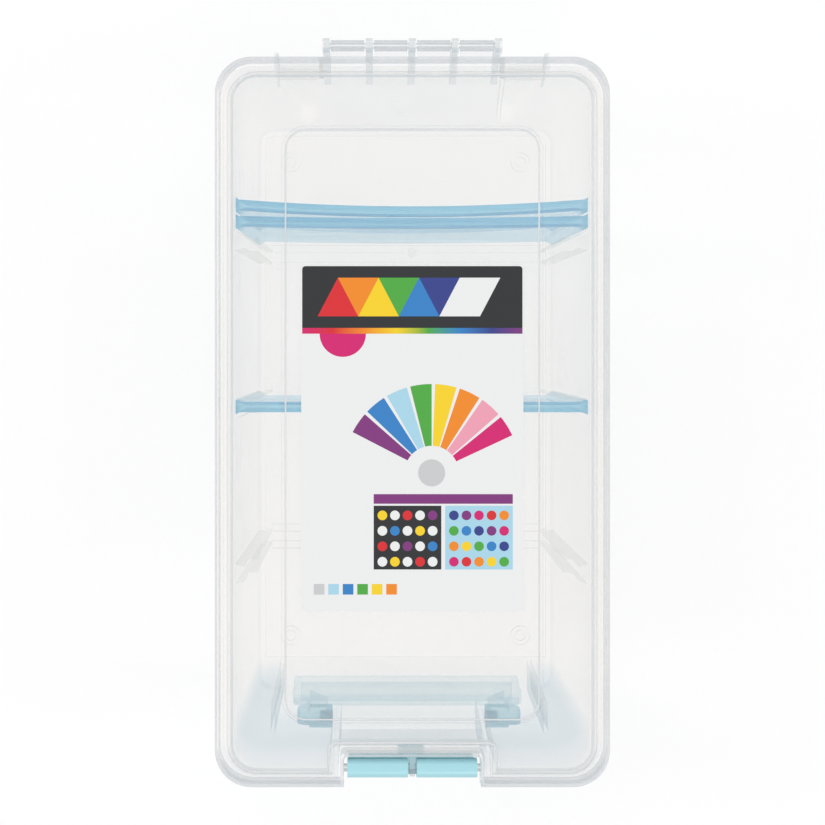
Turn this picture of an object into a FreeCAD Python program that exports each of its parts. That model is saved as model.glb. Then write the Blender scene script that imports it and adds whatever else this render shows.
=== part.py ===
import FreeCAD, Part
import functools
import math
import os
import re

import Sketcher

# Craft storage case: a clear moulded tub and lid, an aqua latch and handle, loose dividers and a label.
# Lengths are millimetres. X runs across the case, -Y is the latch side, +Y the hinge side and Z is up.
# Sketches are drawn about the middle of the lid, and every body is then set back by half the hinge's reach.

SIZES = {
    # Whole case
    "lid_width": 204.0,
    "lid_length": 377.0,
    "case_height": 159.0,
    "overrun": 5.0,
    "bite": 0.3,
    # Lid
    "lid_corner": 19.0,
    "lid_wall": 1.8,
    "skirt_depth": 13.5,
    "lid_edge_round": 2.2,
    "tray_depth": 3.0,
    "rear_skirt_trim": 2.0,
    "panel_width": 132.0,
    "panel_front_inset": 34.0,
    "panel_rear_inset": 37.0,
    "panel_corner": 11.0,
    "panel_step": 1.2,
    "gate_mark_radius": 1.8,
    "gate_mark_depth": 0.3,
    "gate_mark_back": 87.6,
    "notch_width": 71.0,
    "notch_depth": 15.7,
    "notch_corner": 2.5,
    "label_width": 115.0,
    "label_length": 179.0,
    "label_corner": 2.0,
    "label_thickness": 0.2,
    "label_shift": 8.5,
    # Fits between lid and rim
    "rim_gap": 0.6,
    "plug_gap": 0.8,
    "seat_gap": 0.3,
    "notch_gap": 1.2,
    "rear_gap": 3.0,
    # Base tub
    "base_wall": 2.0,
    "rim_lip": 1.4,
    "rim_lip_height": 1.6,
    "rim_height": 7.9,
    "shelf_thickness": 2.0,
    "floor_thickness": 2.2,
    "floor_width": 183.2,
    "floor_front_inset": 12.9,
    "floor_rear_inset": 14.5,
    "floor_corner": 9.0,
    "top_width": 185.8,
    "top_front_inset": 8.7,
    "top_rear_inset": 9.9,
    "top_corner": 14.0,
    "floor_edge_round": 5.0,
    "foot_height": 1.5,
    "foot_radius": 6.0,
    "foot_hole": 3.2,
    "floor_seam": 4.0,
    "foot_side": 72.0,
    "foot_front_inset": 45.5,
    "foot_rear_inset": 34.5,
    # Handle recess, latch catch and handle posts
    "recess_side_gap": 7.3,
    "recess_depth": 30.5,
    "ledge_level": 91.0,
    "catch_drop": 34.0,
    "catch_thickness": 2.2,
    "catch_inset": 12.3,
    "post_thickness": 4.5,
    "post_inset": 5.7,
    "post_end_level": 70.0,
    "post_end_round": 6.0,
    # Divider slots
    "slot_rear_inset": 94.6,
    "slot_front_inset": 108.4,
    "slot_mouth": 9.4,
    "slot_throat": 6.0,
    "slot_taper": 5.0,
    "slot_reach": 9.5,
    "slot_rib": 1.4,
    "slot_drop": 15.0,
    "throat_drop": 42.0,
    "ridge_width": 4.5,
    "ridge_height": 2.0,
    # Rear buttresses beside the hinge
    "buttress_outer_top": 72.0,
    "buttress_outer_low": 65.0,
    "buttress_inner_top": 47.0,
    "buttress_inner_low": 55.0,
    "buttress_inset": 1.9,
    "buttress_low": 24.0,
    "buttress_drop": 12.0,
    "guard_overhang": 4.5,
    "guard_thickness": 2.0,
    "guard_height": 34.0,
    "guard_tip": 6.0,
    # Hinge
    "hinge_back": 6.2,
    "hinge_drop": 5.0,
    "ear_radius": 3.9,
    "ear_thickness": 3.7,
    "ear_pitch": 22.3,
    "ear_drop": 7.8,
    "ear_root": 22.0,
    "hinge_rod_radius": 1.5,
    "barrel_radius": 2.95,
    "barrel_gap": 0.7,
    "barrel_plate": 2.6,
    "barrel_mouth": 2.2,
    "pin_gap": 0.06,
    # Latch
    "latch_radius": 5.0,
    "latch_back_gap": 1.9,
    "latch_drop": 6.5,
    "latch_width": 67.2,
    "latch_middle_gap": 4.4,
    "latch_lug": 2.6,
    "latch_lug_radius": 4.4,
    "latch_rod_radius": 2.0,
    "latch_plate": 2.2,
    "latch_length": 42.0,
    "latch_corner": 5.0,
    "latch_mouth": 2.6,
    "hook_gap": 0.4,
    "hook_play": 0.8,
    "hook_height": 3.0,
    "hook_width": 14.0,
    "thumb_reach": 2.2,
    "thumb_height": 7.0,
    # Handle
    "grip_width": 137.4,
    "grip_front_inset": 6.5,
    "grip_back_inset": 22.5,
    "grip_low": 8.0,
    "grip_high": 26.0,
    "grip_round": 6.5,
    "grip_wall": 2.6,
    "grip_end": 4.0,
    "arm_inner": 47.0,
    "arm_outer": 63.5,
    "arm_waist": 9.0,
    "arm_thickness": 7.0,
    "arm_round": 5.0,
    "hub_radius": 6.5,
    "hub_length": 13.0,
    "hub_gap": 0.6,
    "pivot_level": 81.0,
    "pivot_inset": 16.5,
    "pivot_radius": 3.0,
    "pivot_length": 7.0,
    "pivot_end_gap": 0.6,
    # Dividers
    "divider_web": 2.0,
    "divider_bar": 5.2,
    "divider_bar_height": 6.0,
    "divider_tail": 7.4,
    "divider_tail_length": 4.0,
    "divider_side_gap": 0.35,
    "divider_floor_gap": 0.3,
    "divider_corner": 5.0,
    "divider_bow_inner": 1.2,
    "divider_bow_outer": 3.6,
    "stack_gap": 1.2,
}

# Angles, in degrees
TRAY_SLOPE = 20.0
PANEL_SLOPE = 30.0

# How far a rounded bottom edge stands in and rises at each step, as shares of its radius
EDGE_ROUND_SHARES = ((1.0, 0.0), (0.5, 0.134), (0.134, 0.5), (0.0, 1.0))

# How round the ends of the hinge ears and of the latch's middle lug are, as shares of their half height
EAR_ROUND_SHARE = 0.98
LUG_ROUND_SHARE = 0.9

HINGE_EARS = 5
SLOTS = 3

# Places that follow from the sizes, outermost first. An inset is how far a place lies inside the lid's end.
DERIVED = {
    "lid_half": "lid_width / 2",
    "lid_end": "lid_length / 2",
    "skirt_bottom": "case_height - skirt_depth",
    "skirt_half": "lid_half - lid_wall",
    "skirt_end": "lid_end - lid_wall",
    "lip_half": "skirt_half - rim_gap",
    "lip_front": "skirt_end - rim_gap",
    "rim_half": "lip_half - rim_lip",
    "rim_front": "lip_front - rim_lip",
    "rim_rear": "skirt_end - rear_gap",
    "rim_top": "case_height - lid_wall - seat_gap",
    "shelf_level": "rim_top - rim_height",
    "shelf_bottom": "shelf_level - shelf_thickness",
    "plug_half": "rim_half - base_wall - plug_gap",
    "plug_front": "rim_front - base_wall - plug_gap",
    "plug_rear": "rim_rear - base_wall - plug_gap",
    "deck_top": "case_height - tray_depth",
    "deck_bottom": "deck_top - lid_wall",
    "panel_top": "deck_top - panel_step",
    "notch_half": "notch_width / 2",
    "notch_back": "lid_end - notch_depth",
    "latch_recess_half": "notch_half + lid_wall + notch_gap",
    "latch_recess_back": "notch_back - lid_wall - notch_gap",
    "plug_notch_half": "latch_recess_half + base_wall + plug_gap",
    "plug_notch_back": "latch_recess_back - base_wall - plug_gap",
    "floor_level": "foot_height + floor_thickness",
    "floor_half": "floor_width / 2",
    "top_half": "top_width / 2",
    "floor_front": "lid_end - floor_front_inset",
    "floor_rear": "lid_end - floor_rear_inset",
    "top_front": "lid_end - top_front_inset",
    "top_rear": "lid_end - top_rear_inset",
    "foot_front": "lid_end - foot_front_inset",
    "foot_rear": "lid_end - foot_rear_inset",
    "panel_front": "lid_end - panel_front_inset",
    "panel_rear": "lid_end - panel_rear_inset",
    "recess_half": "grip_width / 2 + recess_side_gap",
    "recess_back": "lid_end - recess_depth",
    "catch_reach": "lid_end - catch_inset",
    "post_front": "lid_end - post_inset",
    "buttress_back": "lid_end - buttress_inset",
    "guard_back": "lid_end + guard_overhang",
    "grip_front": "lid_end - grip_front_inset",
    "grip_back": "lid_end - grip_back_inset",
    "pivot_depth": "lid_end - pivot_inset",
    "slot_first": "lid_end - slot_rear_inset",
    "slot_pitch": f"(lid_length - slot_rear_inset - slot_front_inset) / ({SLOTS} - 1)",
    "hinge_level": "case_height - hinge_drop",
    "hinge_axis": "lid_end + hinge_back",
    "barrel_length": "ear_pitch - ear_thickness - 2 * barrel_gap",
    "latch_level": "case_height - latch_drop",
    "latch_axis": "notch_back + latch_back_gap + latch_radius",
    "latch_front": "latch_axis + latch_radius",
    "latch_end_level": "latch_level - latch_length",
    "catch_level": "case_height - catch_drop",
    "slot_top": "case_height - slot_drop",
    "throat_top": "case_height - throat_drop",
    "buttress_top": "case_height - buttress_drop",
    "hook_top": "catch_level - catch_thickness - hook_play",
    "post_outer": "latch_recess_half + post_thickness",
    "hub_inner": "post_outer + hub_gap",
    "divider_low": "floor_level + divider_floor_gap",
    "divider_high": "slot_top",
    "stack_inner": "slot_first + slot_mouth / 2 + slot_rib + stack_gap + divider_tail / 2",
    "stack_outer": "stack_inner + divider_tail + stack_gap",
}


def spelled(text):
    """The formula with every place written out in sheet cells."""

    def cell(match):
        name = match.group(0)
        if name in DERIVED:
            return f"({spelled(DERIVED[name])})"
        return f"Sheet.{name}" if name in SIZES else name

    return re.sub(r"[a-z_]+", cell, text)


def back_wall(level):
    """How far in front of the middle the recess's sloping back wall stands at a level."""
    share = f"(rim_top - ({level})) / (rim_top - foot_height)"
    return f"latch_recess_back + (recess_back - latch_recess_back) * {share}"


def inner_half(level):
    """Half the tub's drafted inner width at a level."""
    share = f"(({level}) - floor_level) / (shelf_level - floor_level)"
    return f"floor_half + (top_half - floor_half) * {share}"


def slot_place(index):
    """Where a divider slot stands along the case, counted from the hinge side."""
    return f"slot_first - {index} * slot_pitch"


doc = FreeCAD.newDocument("craft_storage_case")
sheet = doc.addObject("Spreadsheet::Sheet", "Sheet")
for row, (alias, size) in enumerate(SIZES.items(), start=1):
    sheet.set(f"A{row}", alias)
    sheet.set(f"B{row}", str(size))
    sheet.setAlias(f"B{row}", alias)
doc.recompute()


@functools.lru_cache(maxsize=None)
def number(text):
    """The value of a formula, from the sheet."""
    return float(sheet.evalExpression(spelled(text)))


def bind(thing, prop, text):
    """Binds a property to a formula."""
    thing.setExpression(prop, spelled(text))


# Sketch helpers


def new_body(label):
    """An empty body, set back so that the whole case is centred on the origin."""
    body = doc.addObject("PartDesign::Body", label)
    body.Label = label
    bind(body, "Placement.Base.y", "0 - (hinge_back + ear_radius) / 2")
    return body


def sketch_on(body, name, plane, offset="0"):
    """A sketch on one of the body's origin planes, moved along the plane's normal."""
    sketch = body.newObject("Sketcher::SketchObject", name)
    support = next(f for f in body.Origin.OriginFeatures if f.Role == plane)
    sketch.AttachmentSupport = (support, [""])
    sketch.MapMode = "FlatFace"
    if offset != "0":
        bind(sketch, "AttachmentOffset.Base.z", offset)
    return sketch


def add_rules(sketch, rules):
    """Adds constraints in one go: (kind, elements) or, for a dimension, (kind, elements, formula)."""
    first = sketch.ConstraintCount
    sketch.addConstraint([
        Sketcher.Constraint(rule[0], *rule[1], *(number(text) for text in rule[2:])) for rule in rules
    ])
    for index, rule in enumerate(rules, start=first):
        if len(rule) > 2:
            bind(sketch, f"Constraints[{index}]", rule[2])


def pin_point(element, end, x, y):
    """Rules that hold a sketch point at a place given by two formulas."""
    rules = []
    for kind, axis, text in (("DistanceX", -2, x), ("DistanceY", -1, y)):
        if text == "0":
            rules.append(("PointOnObject", (element, end, axis)))
        else:
            rules.append((kind, (-1, 1, element, end), text))
    return rules


def circle(sketch, x, y, radius):
    """A dimensioned circle."""
    centre = FreeCAD.Vector(number(x), number(y), 0)
    index = sketch.addGeometry(Part.Circle(centre, FreeCAD.Vector(0, 0, 1), number(radius)))
    add_rules(sketch, [*pin_point(index, 3, x, y), ("Radius", (index,), radius)])


def outline(sketch, corners):
    """A closed outline through corners (x, y) or (x, y, radius), each given by formulas.

    A corner with a radius is rounded by an arc that touches both of its sides.
    """
    count = len(corners)
    place = [FreeCAD.Vector(number(c[0]), number(c[1]), 0) for c in corners]
    leave, arrive, arcs = [], [], []
    for i, corner in enumerate(corners):
        if len(corner) == 2:
            leave.append(place[i])
            arrive.append(place[i])
            arcs.append(None)
            continue
        radius = number(corner[2])
        back = (place[i - 1] - place[i]).normalize()
        ahead = (place[(i + 1) % count] - place[i]).normalize()
        half = back.getAngle(ahead) / 2
        run = radius / math.tan(half)
        middle = place[i] + (back + ahead).normalize() * (radius / math.sin(half))
        arrive.append(place[i] + back * run)
        leave.append(place[i] + ahead * run)
        arcs.append((middle, radius, back.cross(ahead).z < 0))
    lines = sketch.addGeometry([
        Part.LineSegment(leave[i], arrive[(i + 1) % count]) for i in range(count)
    ])
    rules = []
    for i, corner in enumerate(corners):
        before, after = lines[i - 1], lines[i]
        if arcs[i] is None:
            rules.append(("Coincident", (before, 2, after, 1)))
            rules += pin_point(after, 1, corner[0], corner[1])
            continue
        middle, radius, left_turn = arcs[i]
        ends = (arrive[i], leave[i]) if left_turn else (leave[i], arrive[i])
        angles = [math.atan2(e.y - middle.y, e.x - middle.x) for e in ends]
        if angles[1] < angles[0]:
            angles[1] += 2 * math.pi
        ring = Part.Circle(middle, FreeCAD.Vector(0, 0, 1), radius)
        arc = sketch.addGeometry(Part.ArcOfCircle(ring, *angles))
        point = sketch.addGeometry(Part.Point(place[i]), True)
        first, last = (1, 2) if left_turn else (2, 1)
        rules += [
            ("Tangent", (before, 2, arc, first)),
            ("Tangent", (arc, last, after, 1)),
            ("Radius", (arc,), corner[2]),
            ("PointOnObject", (point, 1, before)),
            ("PointOnObject", (point, 1, after)),
            *pin_point(point, 1, corner[0], corner[1]),
        ]
    add_rules(sketch, rules)


def rounded_box(half, front, rear, radius):
    """Corners of a rounded rectangle that is even about the Y axis."""
    return [
        (f"0 - ({half})", f"0 - ({front})", radius),
        (half, f"0 - ({front})", radius),
        (half, rear, radius),
        (f"0 - ({half})", rear, radius),
    ]


def notched_box(half, front, rear, radius, notch_half, notch_back, notch_radius):
    """Corners of a rounded rectangle with the latch notch in its front."""
    return [
        (f"0 - ({notch_half})", f"0 - ({notch_back})", notch_radius),
        (notch_half, f"0 - ({notch_back})", notch_radius),
        (notch_half, f"0 - ({front})"),
        (half, f"0 - ({front})", radius),
        (half, rear, radius),
        (f"0 - ({half})", rear, radius),
        (f"0 - ({half})", f"0 - ({front})", radius),
        (f"0 - ({notch_half})", f"0 - ({front})"),
    ]


# Feature helpers


def extrude(body, kind, sketch, length, symmetric=False, flip=False, taper=None):
    """A pad or pocket of a sketch, which has to change the body's volume."""
    feature = body.newObject(f"PartDesign::{kind}", f"{sketch.Name}_{kind.lower()}")
    feature.Profile = sketch
    bind(feature, "Length", length)
    feature.SideType = "Symmetric" if symmetric else "One side"
    feature.Reversed = flip
    if taper is not None:
        feature.TaperAngle = taper
    return settle(feature)


def settle(feature):
    """Recomputes a new feature and stops if it failed or left the solid as it was."""
    doc.recompute()
    if feature.State and ("Invalid" in feature.State or "Error" in feature.State):
        raise RuntimeError(f"{feature.Name}: {feature.State}")
    base = feature.BaseFeature
    if base is not None and abs(base.Shape.Volume - feature.Shape.Volume) < 1e-6:
        raise RuntimeError(f"{feature.Name} changes nothing")
    return feature


def pad(body, sketch, length, **options):
    """Adds a sketch's extrusion."""
    return extrude(body, "Pad", sketch, length, **options)


def pocket(body, sketch, length, **options):
    """Takes a sketch's extrusion away."""
    return extrude(body, "Pocket", sketch, length, **options)


def loft(body, kind, sections):
    """A straight-sided loft through sketches, from the lowest up."""
    feature = body.newObject(f"PartDesign::{kind}Loft", f"{sections[0].Name}_loft")
    feature.Profile = sections[0]
    feature.Sections = sections[1:]
    feature.Ruled = True
    return settle(feature)


def round_edges(body, name, chosen, radius):
    """Rounds the edges of the body's last feature that a test picks."""
    tip = body.Tip
    edges = [f"Edge{i}" for i, e in enumerate(tip.Shape.Edges, start=1) if chosen(e)]
    feature = body.newObject("PartDesign::Fillet", name)
    feature.Base = (tip, edges)
    bind(feature, "Radius", radius)
    return settle(feature)


def mirror_across(body, name, originals):
    """Repeats features on the other side of the case's middle plane."""
    feature = body.newObject("PartDesign::Mirrored", name)
    feature.Originals = originals
    feature.MirrorPlane = (next(f for f in body.Origin.OriginFeatures if f.Role == "YZ_Plane"), [""])
    body.Tip = feature
    return settle(feature)


def repeat_along_x(body, name, originals, pitch, count):
    """Repeats features at an even pitch along X."""
    feature = body.newObject("PartDesign::LinearPattern", name)
    feature.Originals = originals
    feature.Direction = (next(f for f in body.Origin.OriginFeatures if f.Role == "X_Axis"), [""])
    feature.Mode = "Spacing"
    bind(feature, "Offset", pitch)
    feature.Occurrences = count
    body.Tip = feature
    return settle(feature)


def level_edge(level):
    """A test for edges that lie flat at a level."""
    height = number(level)
    return lambda edge: all(abs(v.Point.z - height) < 1e-4 for v in edge.Vertexes)


# Base: drafted tub, stepped rim with a lip, front recess, slots, feet and hinge ears


def make_base():
    """Builds the clear tub."""
    body = new_body("base")

    def tub_sketch(name, level, half, front, rear, corner):
        sketch = sketch_on(body, name, "XY_Plane", level)
        outline(sketch, rounded_box(half, front, rear, corner))
        return sketch

    def tub_sections(name, bottom, grow, edge_round):
        """Sketches of the drafted tub from its rounded bottom edge up, grown on every side."""
        sections = []
        for step, (inset, rise) in enumerate(EDGE_ROUND_SHARES):
            wide = f"{grow} - {inset} * ({edge_round})"
            sections.append(tub_sketch(
                f"{name}_{step}", f"{bottom} + {rise} * ({edge_round})", f"floor_half + {wide}",
                f"floor_front + {wide}", f"floor_rear + {wide}", f"floor_corner + {wide}",
            ))
        sections.append(tub_sketch(
            f"{name}_high", "shelf_level", f"top_half + {grow}",
            f"top_front + {grow}", f"top_rear + {grow}", f"top_corner + {grow}",
        ))
        return sections

    loft(body, "Additive", tub_sections("tub", "foot_height", "base_wall", "floor_edge_round"))

    rim = tub_sketch("rim", "shelf_bottom", "rim_half", "rim_front", "rim_rear", "lid_corner - lid_wall")
    pad(body, rim, "rim_top - shelf_bottom")
    lip = tub_sketch(
        "rim_lip_plate", "rim_top - rim_lip_height", "lip_half", "lip_front", "rim_rear",
        "lid_corner - lid_wall",
    )
    pad(body, lip, "rim_lip_height")
    make_buttresses(body)

    loft(body, "Subtractive", tub_sections("cavity", "floor_level", "0", "floor_edge_round - base_wall"))
    mouth = tub_sketch(
        "rim_mouth", "rim_top", "rim_half - base_wall",
        "rim_front - base_wall", "rim_rear - base_wall", "lid_corner - lid_wall - base_wall",
    )
    pocket(body, mouth, "rim_height")
    hollow_buttresses(body)
    make_front_recess(body)
    make_hinge_ears(body)
    seat = sketch_on(body, "floor_seat", "XY_Plane", "floor_level")
    outline(seat, floor_plate())
    pocket(body, seat, "floor_thickness + bite")
    make_slots(body)
    return body


def make_buttresses(body):
    """Tapered bosses on the rear wall beside the hinge, each with a thin guard rib."""
    boss = sketch_on(body, "buttress", "XZ_Plane", "0 - (buttress_back)")
    outline(boss, [
        ("buttress_inner_low", "buttress_low"),
        ("buttress_outer_low", "buttress_low"),
        ("buttress_outer_top", "buttress_top"),
        ("buttress_inner_top", "buttress_top"),
    ])
    solid = pad(body, boss, "buttress_back - floor_rear")
    guard = sketch_on(body, "guard", "YZ_Plane", "buttress_outer_top - guard_thickness")
    outline(guard, [
        ("floor_rear + base_wall", "buttress_top - guard_height"),
        ("guard_back", "buttress_top - guard_tip"),
        ("guard_back", "buttress_top"),
        ("floor_rear + base_wall", "buttress_top"),
    ])
    rib = pad(body, guard, "guard_thickness")
    mirror_across(body, "buttress_pair", [solid, rib])


def hollow_buttresses(body):
    """Opens the bosses from the inside of the tub, so that their walls are as thick as the tub's."""
    hollow = sketch_on(body, "buttress_hollow", "XZ_Plane", "base_wall - buttress_back")
    outline(hollow, [
        ("buttress_inner_low + base_wall", "buttress_low + base_wall"),
        ("buttress_outer_low - base_wall", "buttress_low + base_wall"),
        ("buttress_outer_top - base_wall", "buttress_top - base_wall"),
        ("buttress_inner_top + base_wall", "buttress_top - base_wall"),
    ])
    cut = pocket(body, hollow, "buttress_back - floor_rear + overrun", flip=True)
    mirror_across(body, "buttress_hollow_pair", [cut])


def make_front_recess(body):
    """The deep front recess: latch bay above, wide handle bay below, pivot posts and the latch catch."""
    wall_middle = "base_wall / 2"
    bay = sketch_on(body, "latch_bay_walls", "YZ_Plane")
    outline(bay, [
        (f"0 - (floor_front + {wall_middle})", "foot_height"),
        (f"0 - (top_front + {wall_middle})", "shelf_bottom"),
        ("0 - (rim_front)", "shelf_bottom"),
        ("0 - (rim_front)", "rim_top"),
        ("base_wall - (latch_recess_back)", "rim_top"),
        ("base_wall - (recess_back)", "foot_height"),
    ])
    pad(body, bay, "2 * (latch_recess_half + base_wall)", symmetric=True)
    ledge_share = "(ledge_level - foot_height) / (shelf_bottom - foot_height)"
    ledge_front = f"floor_front + {wall_middle} + (top_front - floor_front) * {ledge_share}"
    wide = sketch_on(body, "handle_bay_walls", "YZ_Plane")
    outline(wide, [
        (f"0 - (floor_front + {wall_middle})", "foot_height"),
        (f"0 - ({ledge_front})", "ledge_level"),
        (f"base_wall - ({back_wall('ledge_level')})", "ledge_level"),
        ("base_wall - (recess_back)", "foot_height"),
    ])
    pad(body, wide, "2 * (recess_half + base_wall)", symmetric=True)

    far = "0 - (lid_end + overrun)"
    cut = sketch_on(body, "latch_bay", "YZ_Plane")
    outline(cut, [
        (far, "0 - overrun"),
        (f"0 - ({back_wall('0 - overrun')})", "0 - overrun"),
        (f"0 - ({back_wall('rim_top + overrun')})", "rim_top + overrun"),
        (far, "rim_top + overrun"),
    ])
    pocket(body, cut, "2 * latch_recess_half", symmetric=True)
    ceiling = "ledge_level - base_wall"
    cut = sketch_on(body, "handle_bay", "YZ_Plane")
    outline(cut, [
        (far, "0 - overrun"),
        (f"0 - ({back_wall('0 - overrun')})", "0 - overrun"),
        (f"0 - ({back_wall(ceiling)})", ceiling),
        (far, ceiling),
    ])
    pocket(body, cut, "2 * recess_half", symmetric=True)

    catch = sketch_on(body, "catch", "YZ_Plane")
    catch_low = "catch_level - catch_thickness"
    outline(catch, [
        (f"bite - ({back_wall(catch_low)})", catch_low),
        (f"bite - ({back_wall('catch_level')})", "catch_level"),
        ("0 - catch_reach", "catch_level"),
        ("0 - catch_reach", catch_low),
    ])
    pad(body, catch, "2 * (latch_recess_half + bite)", symmetric=True)

    post = sketch_on(body, "post", "YZ_Plane", "latch_recess_half")
    outline(post, [
        (f"bite - ({back_wall('post_end_level')})", "post_end_level"),
        (f"bite - ({back_wall('shelf_bottom')})", "shelf_bottom + bite"),
        ("0 - post_front", "shelf_bottom + bite"),
        ("0 - post_front", "post_end_level", "post_end_round"),
    ])
    posts = pad(body, post, "post_thickness")
    pivot = sketch_on(body, "pivot", "YZ_Plane", "post_outer - bite")
    circle(pivot, "0 - pivot_depth", "pivot_level", "pivot_radius")
    pivots = pad(body, pivot, "pivot_length + bite")
    mirror_across(body, "post_pair", [posts, pivots])


def make_slots(body):
    """Dovetail rib pairs down both side walls, one set for each divider."""
    tails = sketch_on(body, "slot_tails", "XY_Plane", "floor_level")
    throats = sketch_on(body, "slot_throats", "XY_Plane", "floor_level")
    for index in range(SLOTS):
        middle = slot_place(index)
        for side in (-1, 1):
            for wall in (-1, 1):
                def spot(inward, across):
                    return (f"{wall} * (top_half - ({inward}))", f"{middle} + {side} * ({across})")

                outline(tails, [
                    spot("0 - bite", "slot_mouth / 2"),
                    spot("slot_taper", "slot_throat / 2"),
                    spot("slot_taper", "slot_throat / 2 + slot_rib"),
                    spot("0 - bite", "slot_mouth / 2 + slot_rib"),
                ])
                outline(throats, [
                    spot("slot_taper - bite", "slot_throat / 2"),
                    spot("slot_reach", "slot_throat / 2"),
                    spot("slot_reach", "slot_throat / 2 + slot_rib"),
                    spot("slot_taper - bite", "slot_throat / 2 + slot_rib"),
                ])
    pad(body, throats, "throat_top - floor_level")
    pad(body, tails, "slot_top - floor_level")


def floor_plate():
    """Corners of the flat floor inside the tub's rounded bottom edge."""
    half = "floor_half - floor_seam"
    front = "base_wall - recess_back"
    rear = "floor_rear - floor_seam"
    return [
        (f"0 - ({half})", front),
        (half, front),
        (half, rear, "floor_corner - floor_seam"),
        (f"0 - ({half})", rear, "floor_corner - floor_seam"),
    ]


def make_base_floor():
    """Builds the tub's flat floor, moulded in one with it, with divider ridges and ring feet."""
    body = new_body("base_floor")
    plate = sketch_on(body, "floor_outline", "XY_Plane", "foot_height")
    outline(plate, floor_plate())
    pad(body, plate, "floor_thickness")
    ridges = sketch_on(body, "floor_ridges", "XY_Plane", "floor_level - bite")
    for index in range(SLOTS):
        for side in (-1, 1):
            near = f"{slot_place(index)} + {side} * slot_throat / 2"
            far = f"{slot_place(index)} + {side} * (slot_throat / 2 + ridge_width)"
            outline(ridges, [
                ("slot_reach - top_half", near),
                ("top_half - slot_reach", near),
                ("top_half - slot_reach", far),
                ("slot_reach - top_half", far),
            ])
    pad(body, ridges, "ridge_height + bite")
    feet = sketch_on(body, "feet", "XY_Plane")
    for side in ("0 - foot_side", "foot_side"):
        for place in ("0 - foot_front", "foot_rear"):
            circle(feet, side, place, "foot_radius")
            circle(feet, side, place, "foot_hole")
    pad(body, feet, "foot_height + bite")
    return body


def make_hinge_ears(body):
    """Ears that stand out behind the lid's skirt, and the hinge rod moulded between them."""
    first = f"0 - ({HINGE_EARS} - 1) / 2 * ear_pitch - ear_thickness / 2"
    ear = sketch_on(body, "ear", "YZ_Plane", first)
    root_top = "hinge_level - ear_drop"
    root_low = f"{root_top} - ear_root"
    share = f"(({root_low}) - foot_height) / (shelf_level - foot_height)"
    root = f"floor_rear + base_wall + (top_rear - floor_rear) * {share}"
    ear_round = f"{EAR_ROUND_SHARE} * ear_radius"
    outline(ear, [
        ("hinge_axis + ear_radius", "hinge_level + ear_radius", ear_round),
        ("hinge_axis - ear_radius", "hinge_level + ear_radius", ear_round),
        ("hinge_axis - ear_radius", root_top),
        ("top_rear + base_wall / 2", root_top),
        (f"{root} - base_wall / 2", root_low),
        ("hinge_axis + ear_radius", root_top),
    ])
    ears = pad(body, ear, "ear_thickness")
    repeat_along_x(body, "ears", [ears], "ear_pitch", HINGE_EARS)
    rod = sketch_on(body, "hinge_rod", "YZ_Plane")
    circle(rod, "hinge_axis", "hinge_level", "hinge_rod_radius")
    pad(body, rod, f"({HINGE_EARS} - 1) * ear_pitch", symmetric=True)


# Lid: rim channel over the base's rim, sunk stacking tray, latch notch and hinge barrels


def make_lid():
    """Builds the clear lid."""
    body = new_body("lid")

    def lid_sketch(name, level, half, front, rear, corner, notch_half, notch_back, notch_corner):
        sketch = sketch_on(body, name, "XY_Plane", level)
        outline(sketch, notched_box(half, front, rear, corner, notch_half, notch_back, notch_corner))
        return sketch

    block = lid_sketch(
        "lid_block", "skirt_bottom", "lid_half", "lid_end", "lid_end", "lid_corner",
        "notch_half", "notch_back", "notch_corner",
    )
    pad(body, block, "skirt_depth")
    round_edges(body, "lid_edge", level_edge("case_height"), "lid_edge_round")
    inside = lid_sketch(
        "lid_inside", "skirt_bottom", "skirt_half", "skirt_end", "skirt_end", "lid_corner - lid_wall",
        "notch_half + lid_wall", "notch_back - lid_wall", "notch_corner",
    )
    pocket(body, inside, "skirt_depth - lid_wall", flip=True)
    plug = lid_sketch(
        "plug", "deck_bottom", "plug_half", "plug_front", "plug_rear", "lid_corner - lid_wall - base_wall",
        "plug_notch_half", "plug_notch_back", "notch_corner",
    )
    pad(body, plug, "tray_depth")
    tray = lid_sketch(
        "tray", "case_height", "plug_half - lid_wall", "plug_front - lid_wall", "plug_rear - lid_wall",
        "lid_corner - 2 * lid_wall - base_wall",
        "plug_notch_half + lid_wall", "plug_notch_back - lid_wall", "notch_corner + lid_wall",
    )
    pocket(body, tray, "tray_depth", taper=-TRAY_SLOPE)
    make_panel(body)
    make_rear_skirt(body)
    make_barrels(body)
    make_latch_rod(body)
    return body


def panel_box(grow):
    """Corners of the label panel, grown on every side."""
    half = f"panel_width / 2 + {grow}"
    return rounded_box(half, f"panel_front + {grow}", f"panel_rear + {grow}", f"panel_corner + {grow}")


def make_panel(body):
    """A shallow sunk panel in the tray, as thick as the deck, with the moulding gate's mark."""
    under = sketch_on(body, "panel_under", "XY_Plane", "deck_bottom - panel_step")
    outline(under, panel_box("lid_wall"))
    pad(body, under, "panel_step + bite")
    face = sketch_on(body, "panel_face", "XY_Plane", "deck_top")
    outline(face, panel_box("0"))
    pocket(body, face, "panel_step", taper=-PANEL_SLOPE)
    gate = sketch_on(body, "gate_mark", "XY_Plane", "panel_top")
    circle(gate, "0", "gate_mark_back", "gate_mark_radius")
    pocket(body, gate, "gate_mark_depth")


def make_rear_skirt(body):
    """The skirt stops higher along the hinge side, so that it swings clear of the rim."""
    trim = sketch_on(body, "rear_trim", "XY_Plane", "skirt_bottom")
    half = "lid_half - lid_corner / 2"
    inner = "skirt_end - lid_corner / 4"
    outline(trim, [
        (f"0 - ({half})", inner),
        (half, inner),
        (half, "lid_end + overrun"),
        (f"0 - ({half})", "lid_end + overrun"),
    ])
    pocket(body, trim, "rear_skirt_trim", flip=True)


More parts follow.
